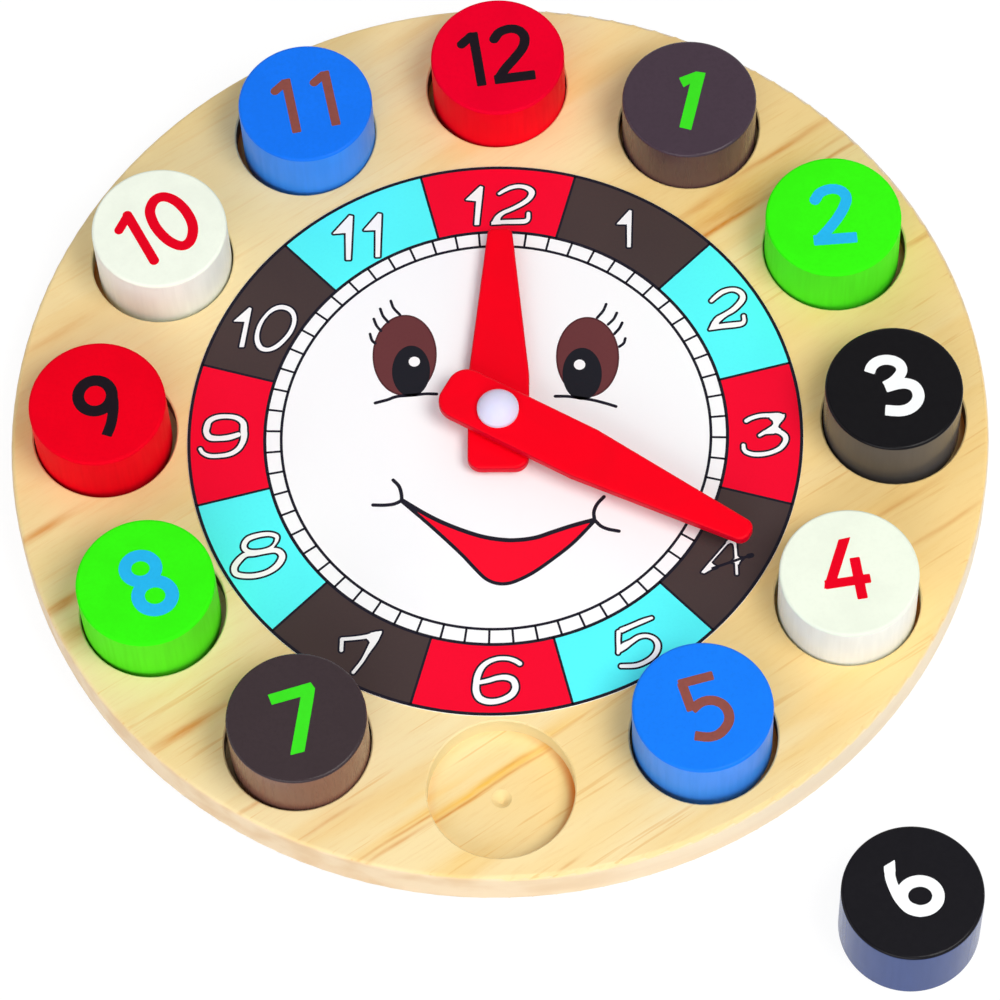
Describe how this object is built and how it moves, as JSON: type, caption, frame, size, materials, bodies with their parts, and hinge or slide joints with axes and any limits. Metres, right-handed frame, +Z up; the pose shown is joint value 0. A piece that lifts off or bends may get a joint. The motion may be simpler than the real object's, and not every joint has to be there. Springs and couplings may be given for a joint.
{
  "type": "teaching clock",
  "caption": "Round wooden learning clock with a printed dial, friction-held hands on a centre rivet and loose painted number blocks that drop into blind sockets around the rim.",
  "frame": {"origin": "centre of the board's underside, on the axis that both hands turn about", "axes": "+Z up out of the dial, +Y towards 12 o'clock, +X towards 3 o'clock"},
  "size_m": [0.24, 0.265, 0.028],
  "materials": {
    "pine": "sanded, thin satin lacquer",
    "printed_dial": "printed sheet, satin",
    "rivet_white": "moulded, glossy",
    "back_washer_steel": "plain plated",
    "washer_white": "moulded, matt",
    "hand_red": "moulded, glossy",
    "paint_red": "painted wood, satin",
    "paint_brown": "painted wood, satin",
    "paint_green": "painted wood, satin",
    "paint_black": "painted wood, satin",
    "paint_white": "painted wood, satin",
    "paint_blue": "painted wood, satin"
  },
  "bodies": {
    "board": {"clock_board": "pine", "dial_label": "printed_dial", "rivet_socket": "rivet_white", "back_washer": "back_washer_steel", "dial_spacer": "washer_white", "hand_washer": "washer_white", "pivot_rivet": "rivet_white"},
    "hour": {"hour_hand": "hand_red"},
    "minute": {"minute_hand": "hand_red"},
    "block_01": {"number_block_01": "paint_brown"},
    "block_02": {"number_block_02": "paint_green"},
    "block_03": {"number_block_03": "paint_black"},
    "block_04": {"number_block_04": "paint_white"},
    "block_05": {"number_block_05": "paint_blue"},
    "block_06": {"number_block_06": "paint_black"},
    "block_07": {"number_block_07": "paint_brown"},
    "block_08": {"number_block_08": "paint_green"},
    "block_09": {"number_block_09": "paint_red"},
    "block_10": {"number_block_10": "paint_white"},
    "block_11": {"number_block_11": "paint_blue"},
    "block_12": {"number_block_12": "paint_red"}
  },
  "joints": [
    {"name": "hour_hand_turn", "type": "hinge", "parent": "board", "child": "hour", "pos_m": [0, 0, 0.0158], "axis": [0, 0, -1], "continuous": true},
    {"name": "minute_hand_turn", "type": "hinge", "parent": "board", "child": "minute", "pos_m": [0, 0, 0.0196], "axis": [0, 0, -1], "continuous": true},
    {"name": "block_01_lift", "type": "slide", "parent": "board", "child": "block_01", "axis": [0, 0, 1], "range_m": [0, 0.04]},
    {"name": "block_02_lift", "type": "slide", "parent": "board", "child": "block_02", "axis": [0, 0, 1], "range_m": [0, 0.04]},
    {"name": "block_03_lift", "type": "slide", "parent": "board", "child": "block_03", "axis": [0, 0, 1], "range_m": [0, 0.04]},
    {"name": "block_04_lift", "type": "slide", "parent": "board", "child": "block_04", "axis": [0, 0, 1], "range_m": [0, 0.04]},
    {"name": "block_05_lift", "type": "slide", "parent": "board", "child": "block_05", "axis": [0, 0, 1], "range_m": [0, 0.04]},
    {"name": "block_06_lift", "type": "slide", "parent": "board", "child": "block_06", "axis": [0, 0, 1], "range_m": [0, 0.04]},
    {"name": "block_07_lift", "type": "slide", "parent": "board", "child": "block_07", "axis": [0, 0, 1], "range_m": [0, 0.04]},
    {"name": "block_08_lift", "type": "slide", "parent": "board", "child": "block_08", "axis": [0, 0, 1], "range_m": [0, 0.04]},
    {"name": "block_09_lift", "type": "slide", "parent": "board", "child": "block_09", "axis": [0, 0, 1], "range_m": [0, 0.04]},
    {"name": "block_10_lift", "type": "slide", "parent": "board", "child": "block_10", "axis": [0, 0, 1], "range_m": [0, 0.04]},
    {"name": "block_11_lift", "type": "slide", "parent": "board", "child": "block_11", "axis": [0, 0, 1], "range_m": [0, 0.04]},
    {"name": "block_12_lift", "type": "slide", "parent": "board", "child": "block_12", "axis": [0, 0, 1], "range_m": [0, 0.04]}
  ]
}
